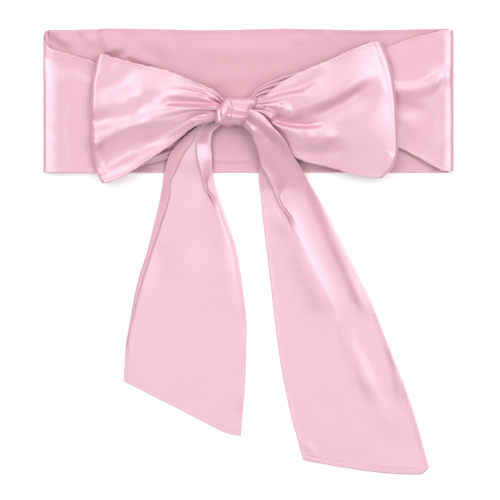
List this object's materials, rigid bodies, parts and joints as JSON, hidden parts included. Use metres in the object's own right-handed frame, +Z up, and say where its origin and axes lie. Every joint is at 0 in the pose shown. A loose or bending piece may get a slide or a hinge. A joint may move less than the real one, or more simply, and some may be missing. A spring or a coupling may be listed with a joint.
{
  "type": "satin sash",
  "caption": "Wide satin sash laid flat: wound into a belt stretch and tied in a soft bow with puffed loops, a wrapped knot and long slanted tails.",
  "frame": {"origin": "middle of the part's outline seen from above, on the surface that it lies on", "axes": "+Z up off the surface, +Y towards the belt stretch's upper edge and away from the tails, +X to the right seen from above"},
  "size_m": [0.427, 0.4639, 0.037],
  "materials": {
    "satin_face": "glossy satin face",
    "satin_reverse": "duller satin reverse"
  },
  "bodies": {
    "root": {"back_panel": "satin_reverse", "left_front_panel": "satin_face", "right_front_panel": "satin_face", "left_loop_back": "satin_face", "left_loop_front": "satin_face", "right_loop_back": "satin_face", "right_loop_front": "satin_face", "left_tail": "satin_face", "right_tail": "satin_face", "knot": "satin_face"}
  },
  "joints": []
}
